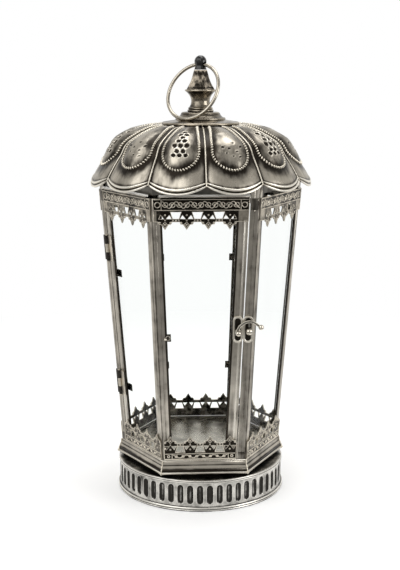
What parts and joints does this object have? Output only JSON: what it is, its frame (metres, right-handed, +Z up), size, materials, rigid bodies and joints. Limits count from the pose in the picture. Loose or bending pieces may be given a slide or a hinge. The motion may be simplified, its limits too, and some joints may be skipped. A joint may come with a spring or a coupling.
{
  "type": "footed lantern",
  "caption": "Hexagonal glazed candle lantern with a cornered hinged door, hook latch, petalled roof, turned finial with carrying ring, and a fluted round foot.",
  "frame": {"origin": "centre of the underside of the round foot", "axes": "+Z up through the finial, -Y out of the front face, which is the larger door panel with the latch, +X to the right as the front is faced"},
  "size_m": [0.2358, 0.2358, 0.4751],
  "materials": {
    "antique_pewter": "antiqued pewter plate with dark patina in the hollows and polished high points",
    "brushed_frame": "brushed and antiqued sheet metal",
    "dark_patina": "dark oxidised metal",
    "polished_metal": "polished plate",
    "black_gloss": "black gloss lacquer",
    "clear_glass": "clear polished pane"
  },
  "bodies": {
    "lantern": {"base_ring": "antique_pewter", "plinth": "antique_pewter", "top_frieze_front_right": "antique_pewter", "top_frieze_back_right": "antique_pewter", "top_frieze_back": "antique_pewter", "top_frieze_back_left": "antique_pewter", "foot_frieze_front_right": "antique_pewter", "foot_frieze_back_right": "antique_pewter", "foot_frieze_back": "antique_pewter", "foot_frieze_back_left": "antique_pewter", "roof_petal_01": "antique_pewter", "roof_petal_02": "antique_pewter", "roof_petal_03": "antique_pewter", "roof_petal_04": "antique_pewter", "roof_petal_05": "antique_pewter", "roof_petal_06": "antique_pewter", "roof_petal_07": "antique_pewter", "roof_petal_08": "antique_pewter", "roof_petal_09": "antique_pewter", "roof_petal_10": "antique_pewter", "roof_petal_11": "antique_pewter", "roof_petal_12": "antique_pewter", "roof_cap": "antique_pewter", "finial_spindle": "antique_pewter", "latch_post_plate": "antique_pewter", "hinge_post": "brushed_frame", "latch_post": "brushed_frame", "right_post": "brushed_frame", "back_right_post": "brushed_frame", "back_left_post": "brushed_frame", "head_frame": "dark_patina", "crown_plate": "dark_patina", "finial_nut": "dark_patina", "hinge_post_leaf_foot": "dark_patina", "hinge_post_leaf_head": "dark_patina", "floor_plate": "polished_metal", "hinge_pin_foot": "polished_metal", "hinge_pin_head": "polished_metal", "latch_catch": "polished_metal", "finial_ball": "black_gloss", "glass_front_right": "clear_glass", "glass_back_right": "clear_glass", "glass_back": "clear_glass", "glass_back_left": "clear_glass"},
    "door": {"door_hinge_stile": "brushed_frame", "door_corner_stile": "brushed_frame", "door_latch_stile": "brushed_frame", "door_top_frieze_front": "antique_pewter", "door_top_frieze_front_left": "antique_pewter", "door_foot_frieze_front": "antique_pewter", "door_foot_frieze_front_left": "antique_pewter", "door_glass_front": "clear_glass", "door_glass_front_left": "clear_glass", "hinge_door_leaf_foot": "antique_pewter", "hinge_door_leaf_head": "antique_pewter", "latch_door_plate": "antique_pewter", "latch_pivot": "polished_metal"},
    "hook": {"latch_hook": "polished_metal"},
    "ring": {"carry_ring": "polished_metal"}
  },
  "joints": [
    {"name": "door_swing", "type": "hinge", "parent": "lantern", "child": "door", "pos_m": [-0.09559, -0.00933, 0.1955], "axis": [0.0764, 0, -0.9971], "range_deg": [0, 110]},
    {"name": "hook_lift", "type": "hinge", "parent": "door", "child": "hook", "pos_m": [0.03407, -0.08863, 0.19428], "axis": [0, -0.9978, -0.0662], "range_deg": [0, 75]},
    {"name": "ring_swing", "type": "hinge", "parent": "lantern", "child": "ring", "pos_m": [0, 0, 0.4656], "axis": [-0.7771, 0.6293, 0], "range_deg": [0, 307]}
  ]
}
